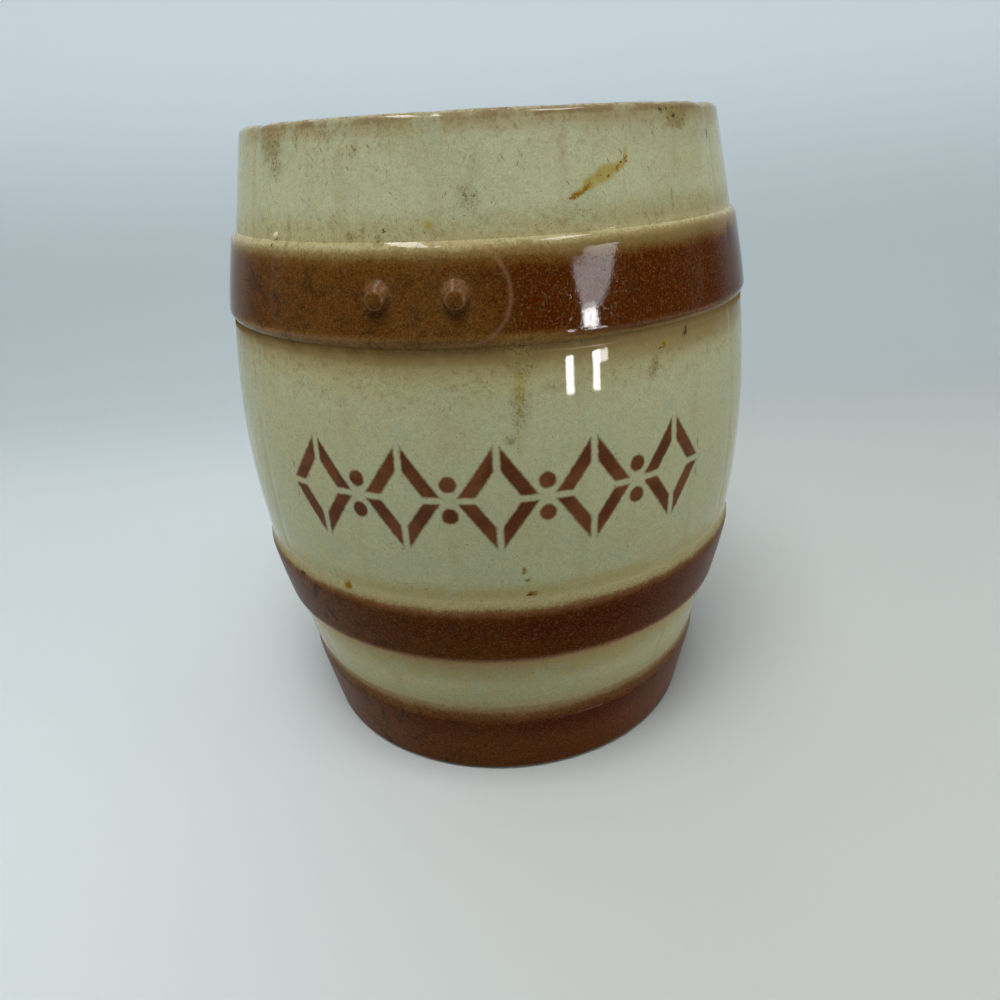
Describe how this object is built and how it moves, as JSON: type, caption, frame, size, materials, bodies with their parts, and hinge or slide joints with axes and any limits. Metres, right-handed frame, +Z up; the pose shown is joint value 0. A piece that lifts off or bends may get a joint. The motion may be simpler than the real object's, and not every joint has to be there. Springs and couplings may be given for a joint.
{
  "type": "grease jar",
  "caption": "Open stoneware grease jar cast as a small barrel with stave seams, raised hoops, a riveted hoop lap and a bare foot ring.",
  "frame": {"origin": "centre of the foot ring, on the surface the jar stands on", "axes": "+Z up along the barrel's axis; -Y is the front, where the upper hoop is lapped and riveted; +X is to the right seen from the front"},
  "size_m": [0.141, 0.141, 0.165],
  "materials": {
    "cream_glaze": "glossy cream glaze with fine brown specks, bare clay under the foot",
    "brown_glaze": "glossy reddish-brown glaze, mottled, thin and pale along the hoop edges"
  },
  "bodies": {
    "root": {"barrel_wall": "cream_glaze", "upper_hoop": "brown_glaze", "lower_hoop": "brown_glaze", "foot_hoop": "brown_glaze", "hoop_rivet_left": "brown_glaze", "hoop_rivet_right": "brown_glaze"}
  },
  "joints": []
}
